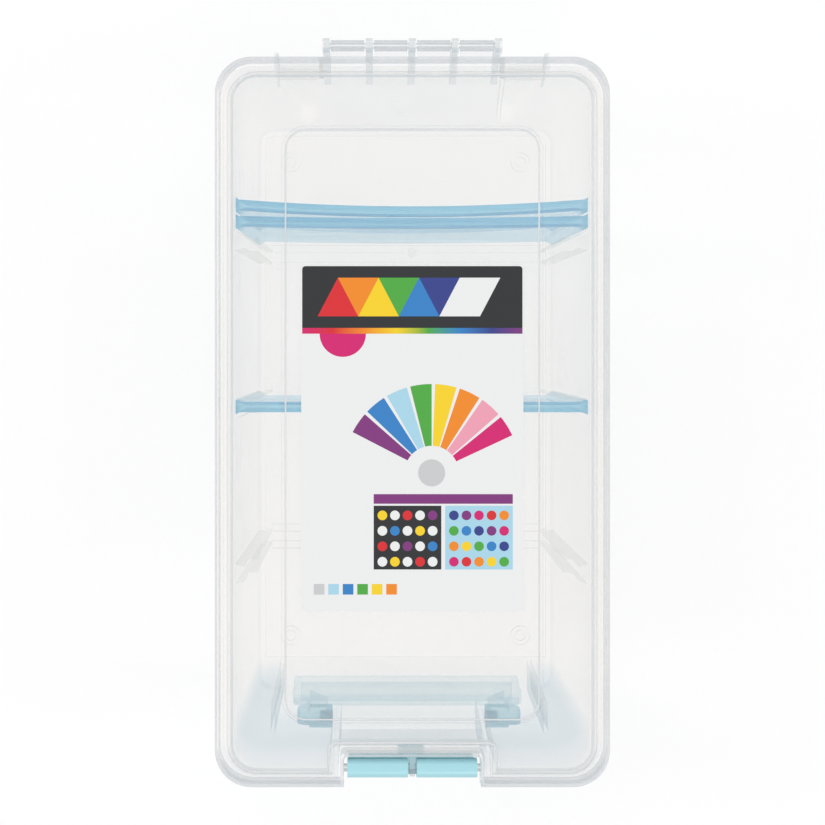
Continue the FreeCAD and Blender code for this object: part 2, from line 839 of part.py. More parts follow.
def make_barrels(body):
    """Four snap-on hinge barrels on short plates, open below so that they press over the rod."""
    first = f"0 - ({HINGE_EARS} - 1) / 2 * ear_pitch + ear_thickness / 2 + barrel_gap"
    barrel = sketch_on(body, "barrel", "YZ_Plane", first)
    circle(barrel, "hinge_axis", "hinge_level", "barrel_radius")
    tube = pad(body, barrel, "barrel_length")
    plate = sketch_on(body, "barrel_plates", "YZ_Plane", first)
    outline(plate, [
        ("lid_end - bite", "hinge_level - barrel_plate / 2"),
        ("hinge_axis", "hinge_level - barrel_plate / 2"),
        ("hinge_axis", "hinge_level + barrel_plate / 2"),
        ("lid_end - bite", "hinge_level + barrel_plate / 2"),
    ])
    link = pad(body, plate, "barrel_length")
    repeat_along_x(body, "barrels", [tube, link], "ear_pitch", HINGE_EARS - 1)
    bore = sketch_on(body, "barrel_bore", "YZ_Plane")
    circle(bore, "hinge_axis", "hinge_level", "hinge_rod_radius + pin_gap")
    span = f"{HINGE_EARS} * ear_pitch"
    pocket(body, bore, span, symmetric=True)
    slit = sketch_on(body, "barrel_mouths", "YZ_Plane")
    outline(slit, [
        ("hinge_axis", "hinge_level - barrel_radius - overrun"),
        ("hinge_axis + barrel_mouth", "hinge_level - barrel_radius - overrun"),
        ("hinge_axis + barrel_mouth", "hinge_level"),
        ("hinge_axis", "hinge_level"),
    ])
    pocket(body, slit, span, symmetric=True)


def make_latch_rod(body):
    """The rod across the notch that the latch snaps on, held in the middle by a lug."""
    rod = sketch_on(body, "latch_rod", "YZ_Plane")
    circle(rod, "0 - latch_axis", "latch_level", "latch_rod_radius")
    pad(body, rod, "notch_width + 2 * bite", symmetric=True)
    lug = sketch_on(body, "latch_lug_plate", "YZ_Plane")
    lug_round = f"{LUG_ROUND_SHARE} * latch_lug_radius"
    outline(lug, [
        ("0 - (latch_axis + latch_lug_radius)", "latch_level - latch_lug_radius", lug_round),
        ("bite - notch_back", "latch_level - latch_lug_radius"),
        ("bite - notch_back", "latch_level + latch_lug_radius"),
        ("0 - (latch_axis + latch_lug_radius)", "latch_level + latch_lug_radius", lug_round),
    ])
    pad(body, lug, "latch_lug", symmetric=True)


# Latch: two snap-on barrels over one plate with a hook and a thumb lip


def make_latch():
    """Builds the aqua latch."""
    body = new_body("latch")
    barrel = sketch_on(body, "latch_barrel", "YZ_Plane")
    circle(barrel, "0 - latch_axis", "latch_level", "latch_radius")
    pad(body, barrel, "latch_width", symmetric=True)
    plate = sketch_on(body, "latch_plate_side", "YZ_Plane")
    inner = "latch_plate - latch_front"
    outline(plate, [
        ("0 - latch_front", "latch_level"),
        ("0 - latch_front", "latch_end_level + thumb_height"),
        ("0 - (latch_front + thumb_reach)", "latch_end_level"),
        (f"{inner} - thumb_reach", "latch_end_level"),
        (inner, "latch_end_level + thumb_height"),
        (inner, "latch_level"),
    ])
    pad(body, plate, "latch_width", symmetric=True)
    hook = sketch_on(body, "hook", "YZ_Plane")
    hook_tip = "0 - (catch_reach + hook_gap)"
    hook_root = "bite / 2 - latch_front"
    outline(hook, [
        (hook_root, "hook_top - hook_height"),
        (inner, "hook_top - hook_height"),
        (hook_tip, "hook_top - hook_height / 2"),
        (hook_tip, "hook_top"),
        (hook_root, "hook_top"),
    ])
    pad(body, hook, "hook_width", symmetric=True)
    cut_latch_corners(body)
    gap = sketch_on(body, "latch_gap", "YZ_Plane")
    outline(gap, [
        ("0 - (latch_front + overrun)", "latch_level - latch_radius"),
        ("overrun - (latch_axis - latch_radius)", "latch_level - latch_radius"),
        ("overrun - (latch_axis - latch_radius)", "latch_level + latch_radius + overrun"),
        ("0 - (latch_front + overrun)", "latch_level + latch_radius + overrun"),
    ])
    pocket(body, gap, "latch_middle_gap", symmetric=True)
    bore = sketch_on(body, "latch_bore", "YZ_Plane")
    circle(bore, "0 - latch_axis", "latch_level", "latch_rod_radius + pin_gap")
    pocket(body, bore, "latch_width + overrun", symmetric=True)
    mouth = sketch_on(body, "latch_mouths", "YZ_Plane")
    outline(mouth, [
        ("0 - latch_axis", "latch_level - latch_mouth / 2"),
        ("overrun - (latch_axis - latch_radius)", "latch_level - latch_mouth / 2"),
        ("overrun - (latch_axis - latch_radius)", "latch_level + latch_mouth / 2"),
        ("0 - latch_axis", "latch_level + latch_mouth / 2"),
    ])
    pocket(body, mouth, "latch_width + overrun", symmetric=True)
    return body


def cut_latch_corners(body):
    """Rounds the two lower corners of the latch plate, as seen from the front."""
    ring = sketch_on(body, "latch_front_outline", "XZ_Plane", "latch_axis")
    half = "latch_width / 2"
    top = "latch_level + latch_radius + overrun"
    for grow, radius in (("overrun", "latch_corner + overrun"), ("0", "latch_corner")):
        outline(ring, [
            (f"0 - ({half} + {grow})", f"latch_end_level - {grow}", radius),
            (f"{half} + {grow}", f"latch_end_level - {grow}", radius),
            (f"{half} + {grow}", f"{top} + {grow}"),
            (f"0 - ({half} + {grow})", f"{top} + {grow}"),
        ])
    pocket(body, ring, "4 * latch_radius", symmetric=True)


# Handle: hollow grip, two shaped arms and the hubs that turn on the base's pivots


def make_handle():
    """Builds the aqua handle."""
    body = new_body("handle")
    grip = sketch_on(body, "grip", "YZ_Plane")
    outline(grip, [
        ("0 - grip_front", "grip_low", "grip_round"),
        ("0 - grip_back", "grip_low", "grip_wall"),
        ("0 - grip_back", "grip_high", "grip_round"),
        ("0 - grip_front", "grip_high", "grip_round"),
    ])
    pad(body, grip, "grip_width", symmetric=True)
    hollow = sketch_on(body, "grip_hollow", "YZ_Plane")
    outline(hollow, [
        ("grip_wall - grip_front", "grip_low + grip_wall", "grip_round - grip_wall"),
        ("overrun - grip_back", "grip_low + grip_wall"),
        ("overrun - grip_back", "grip_high - grip_wall - grip_round / 2"),
        ("0 - (grip_back + grip_wall)", "grip_high - grip_wall", "grip_round - grip_wall"),
        ("grip_wall - grip_front", "grip_high - grip_wall", "grip_round - grip_wall"),
    ])
    pocket(body, hollow, "grip_width - 2 * grip_end", symmetric=True)

    arm = sketch_on(body, "arm", "XZ_Plane", "pivot_depth - arm_thickness / 2")
    shoulder = "grip_high + 2 * grip_round"
    waist = "(pivot_level + grip_high) / 2"
    outline(arm, [
        ("grip_width / 2 - 2 * arm_waist", "grip_high - grip_wall"),
        ("grip_width / 2", "grip_high - grip_round"),
        ("grip_width / 2", shoulder, "arm_round"),
        ("arm_inner + arm_waist", f"{waist} + arm_round", "arm_round"),
        ("arm_outer", "pivot_level - hub_radius", "arm_round"),
        ("arm_outer", "pivot_level + hub_radius", "arm_round"),
        ("arm_inner", "pivot_level + hub_radius"),
        ("arm_inner", f"{waist}", "arm_round"),
        ("grip_width / 2 - arm_waist", f"{shoulder} - arm_round", "arm_round"),
    ])
    side = pad(body, arm, "arm_thickness")
    hub = sketch_on(body, "hub", "YZ_Plane", "hub_inner")
    circle(hub, "0 - pivot_depth", "pivot_level", "hub_radius")
    boss = pad(body, hub, "hub_length")
    mirror_across(body, "arms", [side, boss])
    eye = sketch_on(body, "hub_eye", "YZ_Plane", "hub_inner - overrun")
    circle(eye, "0 - pivot_depth", "pivot_level", "pivot_radius + pin_gap")
    hole = pocket(body, eye, "pivot_length - hub_gap + pivot_end_gap + overrun", flip=True)
    mirror_across(body, "hub_eyes", [hole])
    return body


# Dividers: thin web with a thick top bar and flared tails that ride in the wall slots


def divider_plan(sketch, half, thickness, tail, middle, bow):
    """A divider seen from above, with flared tails where one is given and a bowed web where it is loose."""
    inner = f"{half} - divider_tail_length" if tail else half
    corners = []
    for side in (1, -1):
        corners.append((f"0 - {side} * ({inner})", f"{middle} - {side} * {thickness} / 2"))
        corners.append((f"{side} * ({inner})", f"{middle} - {side} * {thickness} / 2"))
        if tail:
            corners.append((f"{side} * ({half})", f"{middle} - {side} * {tail} / 2"))
            corners.append((f"{side} * ({half})", f"{middle} + {side} * {tail} / 2"))
    if bow is None:
        outline(sketch, corners)
        return
    bowed_outline(sketch, corners, len(corners) // 2, middle, thickness, bow)


def bowed_outline(sketch, corners, half_count, middle, thickness, bow):
    """The same outline with its two long sides drawn as arcs that bow towards the front."""
    count = len(corners)
    spots = [FreeCAD.Vector(number(x), number(y), 0) for x, y in corners]
    half = corners[1][0]
    elements, rules = [], []
    for i in range(count):
        start, end = spots[i], spots[(i + 1) % count]
        if i % half_count:
            elements.append((sketch.addGeometry(Part.LineSegment(start, end)), 1, 2))
            continue
        side = 1 if i == 0 else -1
        crown = FreeCAD.Vector(0, number(f"{middle} - {side} * {thickness} / 2 - {bow}"), 0)
        arc = sketch.addGeometry(Part.Arc(start, crown, end))
        elements.append((arc, 1, 2) if side == 1 else (arc, 2, 1))
        rules.append(("PointOnObject", (arc, 3, -2)))
        rules.append(("Radius", (arc,), f"(({half}) ^ 2 + {bow} ^ 2) / (2 * {bow})"))
    for i, (element, first, last) in enumerate(elements):
        after, after_first, _ = elements[(i + 1) % count]
        rules.append(("Coincident", (element, last, after, after_first)))
        pins = pin_point(element, first, *corners[i])
        if i % half_count:
            rules += pins
        elif i == 0:
            rules += pins[1:]
    add_rules(sketch, rules)


def make_divider(label, middle, bow=None):
    """Builds one divider whose ends follow the tub's draft."""
    body = new_body(label)
    plans = []
    for name, level in (("low", "divider_low"), ("high", "divider_high")):
        sketch = sketch_on(body, f"{label}_{name}", "XY_Plane", level)
        half = f"{inner_half(level)} - divider_side_gap"
        divider_plan(sketch, half, "divider_web", "divider_tail", middle, bow)
        plans.append(sketch)
    loft(body, "Additive", plans)
    bar_low = "divider_high - divider_bar_height"
    bar = sketch_on(body, f"{label}_bar", "XY_Plane", bar_low)
    half = f"{inner_half(bar_low)} - divider_side_gap - divider_tail_length / 2"
    divider_plan(bar, half, "divider_bar", None, middle, bow)
    pad(body, bar, "divider_bar_height")
    foot = sketch_on(body, f"{label}_foot_corners", "XZ_Plane", f"0 - ({middle})")
    for side in (-1, 1):
        outline(foot, [
            (f"{side} * (floor_half - divider_corner)", "divider_low - bite"),
            (f"{side} * (floor_half + overrun)", "divider_low - bite"),
            (f"{side} * (floor_half + overrun)", "divider_low + divider_corner + overrun"),
        ])
    pocket(body, foot, "divider_tail + 2 * overrun", symmetric=True)
    return body


def make_label():
    """The paper label that lies in the lid's panel."""
    body = new_body("label")
    sheet_of_paper = sketch_on(body, "label_outline", "XY_Plane", "panel_top")
    outline(sheet_of_paper, rounded_box(
        "label_width / 2", "label_length / 2 + label_shift",
        "label_length / 2 - label_shift", "label_corner",
    ))
    pad(body, sheet_of_paper, "label_thickness")
    return body


bodies = [
    make_base(),
    make_base_floor(),
    make_lid(),
    make_latch(),
    make_handle(),
    make_divider("divider_middle", slot_place(1)),
    make_divider("divider_rear_inner", "stack_inner", bow="divider_bow_inner"),
    make_divider("divider_rear_outer", "stack_outer", bow="divider_bow_outer"),
    make_label(),
]
doc.recompute()

for thing in doc.Objects:
    if "Invalid" in thing.State or "Error" in thing.State:
        raise RuntimeError(f"{thing.Name} failed: {thing.State}")
for body in bodies:
    if body.Shape.isNull() or not body.Shape.isValid():
        raise RuntimeError(f"{body.Label} has no valid shape")
    if len(body.Shape.Solids) != 1:
        raise RuntimeError(f"{body.Label} is {len(body.Shape.Solids)} solids")

os.makedirs("parts", exist_ok=True)
for body in bodies:
    body.Shape.exportStep(os.path.join("parts", f"{body.Label}.step"))
    print(f"{body.Label}: {body.Shape.Volume:.0f} mm3, {len(body.Shape.Faces)} faces")
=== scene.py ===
"""Looks of a clear craft storage case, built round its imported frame."""

import logging
import math
from dataclasses import dataclass, field
from enum import Enum
from typing import Any

import bpy
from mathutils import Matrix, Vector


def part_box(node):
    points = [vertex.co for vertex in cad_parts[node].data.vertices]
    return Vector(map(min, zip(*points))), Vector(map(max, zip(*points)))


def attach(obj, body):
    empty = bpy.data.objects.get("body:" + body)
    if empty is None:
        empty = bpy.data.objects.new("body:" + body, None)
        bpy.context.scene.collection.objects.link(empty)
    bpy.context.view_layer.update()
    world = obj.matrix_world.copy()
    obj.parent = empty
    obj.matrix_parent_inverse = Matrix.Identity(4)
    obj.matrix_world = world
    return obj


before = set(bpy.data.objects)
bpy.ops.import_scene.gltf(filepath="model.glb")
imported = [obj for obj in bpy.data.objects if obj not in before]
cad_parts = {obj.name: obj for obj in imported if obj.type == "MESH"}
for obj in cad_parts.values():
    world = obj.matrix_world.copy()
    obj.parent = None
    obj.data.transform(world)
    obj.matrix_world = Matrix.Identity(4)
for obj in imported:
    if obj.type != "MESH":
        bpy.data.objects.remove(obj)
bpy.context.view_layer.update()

logging.basicConfig(level=logging.INFO, format="%(message)s")
log = logging.getLogger("case")

Colour = tuple[float, float, float, float]
Extent = tuple[float, float, float, float]
Point = tuple[float, float]
Spot = tuple[float, float, float]

MM = 0.001
WHITE: Colour = (1.0, 1.0, 1.0, 1.0)

# Steps round a rounded corner, and degrees and least count of the steps round a disc.
ROUND_STEPS = 8
DISC_STEP = 8
DISC_STEPS = 6

# Uneven flow and fine grain of a moulding, where most of the flow's values lie, and the spread of its gloss.
FLOW_DETAIL = 3.0
FLOW_ROUGHNESS = 0.55
FLOW_RANGE = (0.3, 0.7)
GRAIN_DETAIL = 2.0
GRAIN_DEPTH_MM = 0.2
GLOSS_SPREAD = (0.8, 1.25)

# Steepness, from 0 for level to 1 for upright, at which a slope starts, is full and ends, and at which a wall starts.
SLOPE_STARTS = 0.04
SLOPE_FULL = 0.15
SLOPE_ENDS = 0.6
WALL_STARTS = 0.85

# What is left of a faded slope, and how far along a surface is seen where it starts to look hazier.
FADED = 0.15
GRAZING = (0.7, 1.0)

# Fibres of coated paper.
PAPER_DETAIL = 4.0
PAPER_SHADE: Colour = (0.92, 0.92, 0.92, 1.0)
PAPER_BUMP = 0.02
PAPER_DEPTH_MM = 0.05

# Sockets of a mix of two colours.
FIRST_COLOUR = 6
LAST_COLOUR = 7
MIXED_COLOUR = 2

# Faces of a box whose corners run through X, then Y, then Z.
BOX_FACES = [[0, 1, 3, 2], [4, 6, 7, 5], [0, 4, 5, 1], [2, 3, 7, 6], [0, 2, 6, 4], [1, 5, 7, 3]]


def linear(code: str) -> Colour:
    """Turn an sRGB hex code into a linear colour.

    Args:
        code: Six hex digits.

    Returns:
        Linear red, green, blue and alpha.
    """
    parts = [int(code[i : i + 2], 16) / 255 for i in (0, 2, 4)]
    red, green, blue = (c / 12.92 if c <= 0.04045 else ((c + 0.055) / 1.055) ** 2.4 for c in parts)
    return (red, green, blue, 1.0)


class Ink(Enum):
    """Colours of the label's print, as sRGB hex codes. BLEND runs through the rainbow."""

    PAPER = "edeeee"
    BLACK = "15181c"
    RED = "d8232a"
    ORANGE = "f08a1d"
    YELLOW = "f6d21f"
    GREEN = "4aa63c"
    BLUE = "2f7fc4"
    NAVY = "2b3a86"
    VIOLET = "7d2e79"
    MAGENTA = "d2146e"
    PINK = "ee9fb4"
    SKY = "a9d6e8"
    GREY = "c9cbcd"
    BLEND = "ffffff"


RAINBOW = (Ink.MAGENTA, Ink.RED, Ink.ORANGE, Ink.YELLOW, Ink.GREEN, Ink.BLUE, Ink.NAVY, Ink.VIOLET)


def add_node(
    tree: bpy.types.NodeTree,
    kind: str,
    settings: dict[str | int, Any] | None = None,
    links: dict[str | int, bpy.types.NodeSocket] | None = None,
) -> bpy.types.Node:
    """Add a node, set it up and link its inputs.

    Args:
        tree: Tree that gets the node.
        kind: Blender's node type.
        settings: Values for inputs of these names or numbers, or for the node's own properties.
        links: Output socket for each input.

    Returns:
        The new node.
    """
    node = tree.nodes.new(kind)
    for key, value in (settings or {}).items():
        if isinstance(key, int) or key in node.inputs:
            node.inputs[key].default_value = value
        else:
            setattr(node, key, value)
    for key, socket in (links or {}).items():
        tree.links.new(socket, node.inputs[key])
    return node


def span(start: float, end: float, low: float = 0.0, high: float = 1.0) -> dict[str, float]:
    """Settings that map one range to another.

    Args:
        start: Where the range starts.
        end: Where it ends.
        low: Result at the start.
        high: Result at the end.

    Returns:
        The settings.
    """
    return {"From Min": start, "From Max": end, "To Min": low, "To Max": high}


def start_material(name: str) -> tuple[bpy.types.Material, bpy.types.NodeTree, bpy.types.NodeOutputs]:
    """Start an empty material.

    Args:
        name: The material's name.

    Returns:
        The material, its tree and the coordinates, of which Object and Normal are in object space.
    """
    material = bpy.data.materials.new(name)
    material.use_nodes = True
    tree = material.node_tree
    tree.nodes.clear()
    return material, tree, add_node(tree, "ShaderNodeTexCoord").outputs


def per_size(size_mm: float) -> float:
    """Texture scale whose features are about this large.

    Args:
        size_mm: Feature size in millimetres.

    Returns:
        Scale for object space in metres.
    """
    return 1.0 / (size_mm * MM)


@dataclass(frozen=True)
class Moulding:
    """A moulded plastic that lets light through.

    Haze is the share of light that one level surface scatters, slope_haze the share on slopes and graze what is
    added where a surface is seen along. Tint is what passes a level surface. Bend is what passes a slope or a rounded
    edge, which bends light aside, and wall is how much of a slope's haze and bend an upright wall has. Fades_mm is
    the height over which slopes come to show. A painted shade, set by place, darkens what passes where walls crowd
    together near an end and shade falls there: its tint, where it starts and is full along the case, at both ends
    where that span is positive, and the same by height. Thick_mm is the height over which the plastic gets thick,
    with a haze and a tint of its own.
    """

    name: str
    colour: str
    roughness: float
    haze: float
    slope_haze: float
    tint: str = "ffffff"
    bend: str = "ffffff"
    wall: float = 0.5
    graze: float = 0.1
    flow_mm: float = 45.0
    stretch: float = 1.0
    uneven: float = 0.06
    grain_mm: float = 0.5
    ripple: float = 0.03
    shade: float = 0.06
    fades_mm: Point | None = None
    painted_shade_tint: str = "ffffff"
    painted_shade_mm: Point | None = None
    painted_shade_down_mm: Point | None = None
    thick_mm: Point | None = None
    thick_haze: float = 0.8
    thick_tint: str = "ffffff"

    def build(self) -> bpy.types.Material:
        """Make the material.

        Returns:
            The finished material.
        """
        material, tree, coordinates = start_material(self.name)
        place = coordinates["Object"]
        drawn = add_node(
            tree, "ShaderNodeMapping", {"Scale": (1.0 / self.stretch, 1.0, 1.0)}, {"Vector": place},
        )
        flow = add_node(
            tree, "ShaderNodeTexNoise",
            {"Scale": per_size(self.flow_mm), "Detail": FLOW_DETAIL, "Roughness": FLOW_ROUGHNESS},
            {"Vector": drawn.outputs["Vector"]},
        ).outputs["Fac"]
        grain = add_node(
            tree, "ShaderNodeTexNoise",
            {"Scale": per_size(self.grain_mm), "Detail": GRAIN_DETAIL}, {"Vector": place},
        )
        bump = add_node(
            tree, "ShaderNodeBump",
            {"Strength": self.ripple, "Distance": GRAIN_DEPTH_MM * MM}, {"Height": grain.outputs["Fac"]},
        )
        rough = add_node(
            tree, "ShaderNodeMapRange",
            span(0.0, 1.0, *(self.roughness * share for share in GLOSS_SPREAD)), {"Value": flow},
        )
        deep = linear(self.colour)
        pale = tuple(min(1.0, c * (1.0 + self.shade)) for c in deep[:3]) + (1.0,)
        colour = add_node(
            tree, "ShaderNodeMix",
            {"data_type": "RGBA", FIRST_COLOUR: deep, LAST_COLOUR: pale}, {"Factor": flow},
        )
        surface = add_node(
            tree, "ShaderNodeBsdfPrincipled", {},
            {
                "Base Color": colour.outputs[MIXED_COLOUR],
                "Roughness": rough.outputs["Result"],
                "Normal": bump.outputs["Normal"],
            },
        )
        spot = add_node(tree, "ShaderNodeSeparateXYZ", {}, {"Vector": place}).outputs
        slope = self.slope(tree, coordinates["Normal"], spot)
        mixed = self.see_through(tree, slope, spot, flow, surface.outputs["BSDF"])
        add_node(tree, "ShaderNodeOutputMaterial", {}, {"Surface": mixed})
        return material

    def slope(
        self, tree: bpy.types.NodeTree, normal: bpy.types.NodeSocket, spot: bpy.types.NodeOutputs,
    ) -> bpy.types.NodeSocket:
        """How much a surface slopes, and so bends light aside.

        Args:
            tree: The material's tree.
            normal: The surface's normal in object space.
            spot: The point's X, Y and Z.

        Returns:
            From 0 for level to 1 for a slope, with the wall's share for upright.
        """
        upward = add_node(tree, "ShaderNodeSeparateXYZ", {}, {"Vector": normal}).outputs["Z"]
        level = add_node(tree, "ShaderNodeMath", {"operation": "ABSOLUTE"}, {0: upward})
        steep = add_node(tree, "ShaderNodeMapRange", span(1.0, 0.0), {"Value": level.outputs["Value"]})
        shaped = add_node(tree, "ShaderNodeFloatCurve", {}, {"Value": steep.outputs["Result"]})
        curve = shaped.mapping.curves[0]
        curve.points[0].location = (0.0, 0.0)
        curve.points[1].location = (1.0, self.wall)
        for at, value in ((SLOPE_STARTS, 0.0), (SLOPE_FULL, 1.0), (SLOPE_ENDS, 1.0), (WALL_STARTS, self.wall)):
            curve.points.new(at, value)
        shaped.mapping.update()
        if self.fades_mm is None:
            return shaped.outputs["Value"]
        near = add_node(
            tree, "ShaderNodeMapRange", span(*(z * MM for z in self.fades_mm), FADED), {"Value": spot["Z"]},
        )
        faded = add_node(
            tree, "ShaderNodeMath",
            {"operation": "MULTIPLY"}, {0: shaped.outputs["Value"], 1: near.outputs["Result"]},
        )
        return faded.outputs["Value"]

    def see_through(
        self,
        tree: bpy.types.NodeTree,
        slope: bpy.types.NodeSocket,
        spot: bpy.types.NodeOutputs,
        flow: bpy.types.NodeSocket,
        surface: bpy.types.NodeSocket,
    ) -> bpy.types.NodeSocket:
        """Let light through the plastic, by the way its surface slopes and by how thick it is, with painted shade by
        place.

        Args:
            tree: The material's tree.
            slope: How much the surface slopes, from 0 to 1.
            spot: The point's X, Y and Z.
            flow: Uneven flow of the moulding, from 0 to 1.
            surface: Shader of the plastic's surface.

        Returns:
            Shader of the plastic with what shows through it.
        """
        uneven = add_node(
            tree, "ShaderNodeMapRange",
            span(*FLOW_RANGE, 1.0 - self.uneven, 1.0 + self.uneven), {"Value": flow},
        ).outputs["Result"]
        milky = add_node(
            tree, "ShaderNodeMapRange", span(0.0, 1.0, self.haze, self.slope_haze), {"Value": slope},
        )
        patchy = add_node(
            tree, "ShaderNodeMath", {"operation": "MULTIPLY"}, {0: milky.outputs["Result"], 1: uneven},
        )
        facing = add_node(tree, "ShaderNodeLayerWeight", {"Blend": 0.5}).outputs["Facing"]
        graze = add_node(tree, "ShaderNodeMapRange", span(*GRAZING, 0.0, self.graze), {"Value": facing})
        haze = add_node(
            tree, "ShaderNodeMath",
            {"operation": "ADD"}, {0: patchy.outputs["Value"], 1: graze.outputs["Result"]},
        ).outputs["Value"]
        tint = add_node(
            tree, "ShaderNodeMix",
            {"data_type": "RGBA", FIRST_COLOUR: linear(self.tint), LAST_COLOUR: linear(self.bend)},
            {"Factor": slope},
        ).outputs[MIXED_COLOUR]
        # Painted shade: darken what passes by place, where walls crowd together near an end.
        if self.painted_shade_mm is not None:
            tint = add_node(
                tree, "ShaderNodeMix",
                {"data_type": "RGBA", "blend_type": "MULTIPLY", LAST_COLOUR: linear(self.painted_shade_tint)},
                {"Factor": self.painted_shade_share(tree, spot), FIRST_COLOUR: tint},
            ).outputs[MIXED_COLOUR]
        if self.thick_mm is not None:
            thick = add_node(
                tree, "ShaderNodeMapRange", span(*(z * MM for z in self.thick_mm)), {"Value": spot["Z"]},
            ).outputs["Result"]
            dense = add_node(
                tree, "ShaderNodeMapRange", {"To Max": self.thick_haze}, {"Value": thick, "To Min": haze},
            )
            haze = add_node(
                tree, "ShaderNodeMath", {"operation": "MULTIPLY"}, {0: dense.outputs["Result"], 1: uneven},
            ).outputs["Value"]
            tint = add_node(
                tree, "ShaderNodeMix",
                {"data_type": "RGBA", LAST_COLOUR: linear(self.thick_tint)}, {"Factor": thick, FIRST_COLOUR: tint},
            ).outputs[MIXED_COLOUR]
        clear = add_node(tree, "ShaderNodeBsdfTransparent", {}, {"Color": tint})
        mixed = add_node(tree, "ShaderNodeMixShader", {}, {0: haze, 1: clear.outputs["BSDF"], 2: surface})
        return mixed.outputs["Shader"]

    def painted_shade_share(self, tree: bpy.types.NodeTree, spot: bpy.types.NodeOutputs) -> bpy.types.NodeSocket:
        """How much painted shade a point gets by place, among the walls that crowd together near an end.

        Args:
            tree: The material's tree.
            spot: The point's X, Y and Z.

        Returns:
            From 0 outside to 1 deep inside.
        """
        along = spot["Y"]
        if self.painted_shade_mm[0] > 0.0:
            along = add_node(tree, "ShaderNodeMath", {"operation": "ABSOLUTE"}, {0: along}).outputs["Value"]
        share = add_node(
            tree, "ShaderNodeMapRange", span(*(y * MM for y in self.painted_shade_mm)), {"Value": along},
        ).outputs["Result"]
        if self.painted_shade_down_mm is None:
            return share
        down = add_node(
            tree, "ShaderNodeMapRange", span(*(z * MM for z in self.painted_shade_down_mm)), {"Value": spot["Z"]},
        )
        both = add_node(
            tree, "ShaderNodeMath", {"operation": "MULTIPLY"}, {0: share, 1: down.outputs["Result"]},
        )
        return both.outputs["Value"]


@dataclass(frozen=True)
class Print:
    """Coated paper, bare or under one ink."""

    name: str
    ink: Ink
    roughness: float = 0.35
    fibre_mm: float = 0.35
    blend_mm: float = 115.0

    def build(self) -> bpy.types.Material:
        """Make the material.

        Returns:
            The finished material.
        """
        material, tree, coordinates = start_material(self.name)
        place = coordinates["Object"]
        fibre = add_node(
            tree, "ShaderNodeTexNoise",
            {"Scale": per_size(self.fibre_mm), "Detail": PAPER_DETAIL}, {"Vector": place},
        ).outputs["Fac"]
        worn = add_node(
            tree, "ShaderNodeMix",
            {
                "data_type": "RGBA", "blend_type": "MULTIPLY",
                FIRST_COLOUR: linear(self.ink.value), LAST_COLOUR: PAPER_SHADE,
            },
            {"Factor": fibre},
        )
        if self.ink is Ink.BLEND:
            tree.links.new(self.stripe(tree, place), worn.inputs[FIRST_COLOUR])
        bump = add_node(
            tree, "ShaderNodeBump", {"Strength": PAPER_BUMP, "Distance": PAPER_DEPTH_MM * MM}, {"Height": fibre},
        )
        shader = add_node(
            tree, "ShaderNodeBsdfPrincipled", {"Roughness": self.roughness},
            {"Base Color": worn.outputs[MIXED_COLOUR], "Normal": bump.outputs["Normal"]},
        )
        add_node(tree, "ShaderNodeOutputMaterial", {}, {"Surface": shader.outputs["BSDF"]})
        return material

    def stripe(self, tree: bpy.types.NodeTree, place: bpy.types.NodeSocket) -> bpy.types.NodeSocket:
        """Run through the rainbow from left to right.

        Args:
            tree: The material's tree.
            place: Object-space coordinate.

        Returns:
            The colour.
        """
        across = add_node(tree, "ShaderNodeSeparateXYZ", {}, {"Vector": place}).outputs["X"]
        half = self.blend_mm / 2 * MM
        share = add_node(tree, "ShaderNodeMapRange", span(-half, half), {"Value": across})
        rainbow = add_node(tree, "ShaderNodeValToRGB", {}, {"Fac": share.outputs["Result"]})
        stops = rainbow.color_ramp.elements
        for i, ink in enumerate(RAINBOW):
            at = i / (len(RAINBOW) - 1)
            stop = stops[0] if i == 0 else stops[-1] if at == 1.0 else stops.new(at)
            stop.color = linear(ink.value)
        return rainbow.outputs["Color"]


# Clear polypropylene, injection moulded: a milky haze face on, and soft grey lines where slopes and edges bend light.
CLEAR_LID = Moulding(
    "clear_polypropylene_lid", "fbfaf8", 0.2, 0.12, 0.46, tint="fefdfd", bend="e3e6e9", wall=0.7,
    # Painted shade: a slightly darker tint towards both ends of the lid.
    painted_shade_tint="fcfdfe", painted_shade_mm=(166.0, 184.0),
)
CLEAR_BASE = Moulding(
    "clear_polypropylene_tub", "f4f4f3", 0.25, 0.09, 0.14, tint="fefefd", bend="e6eaed", wall=0.12,
    # Painted shade: a bluer, darker tint low along the front of the tub.
    fades_mm=(60.0, 140.0), painted_shade_tint="eef4f8", painted_shade_mm=(-163.0, -178.0), painted_shade_down_mm=(155.0, 110.0),
)
CLEAR_FLOOR = Moulding(
    "clear_polypropylene_floor", "f4f4f3", 0.25, 0.05, 0.09, tint="fdfdfc", bend="e0e4e7", wall=0.9,
)
# Rounded edges of the same plastic: white lines that catch the lamps.
CLEAR_EDGE = Moulding("clear_polypropylene_edge", "ffffff", 0.12, 0.6, 0.66, bend="f2f3f4")
# Aqua pigment in polypropylene: satin and opaque in the latch's barrels, with some light through its thin plate.
AQUA_LATCH = Moulding(
    "aqua_polypropylene_latch", "a5d7e0", 0.35, 0.34, 0.38, tint="e6f6f8", bend="dcf2f5",
    thick_mm=(146.2, 146.8), thick_haze=1.2, thick_tint="d8eff3",
)
# The same pigment in the handle's thin walls, which let much light through, and in its thicker hubs.
AQUA_HANDLE = Moulding(
    "aqua_polypropylene_handle", "bee3ea", 0.35, 0.06, 0.09, tint="fafcfd", bend="f2f9fb",
    thick_mm=(72.0, 74.0), thick_haze=0.34, thick_tint="c8ebf3",
)
# Tinted translucent polypropylene: light comes through the thin web, and the thick top bar is bluer and streaked.
TINTED = Moulding(
    "tinted_polypropylene", "7dc4dc", 0.3, 0.07, 0.09, tint="f3fafe", bend="ebf7fc", wall=0.6,
    flow_mm=2.2, stretch=30.0, uneven=0.45, shade=0.3,
    thick_mm=(116.0, 138.0), thick_haze=0.32, thick_tint="aee4f4",
)


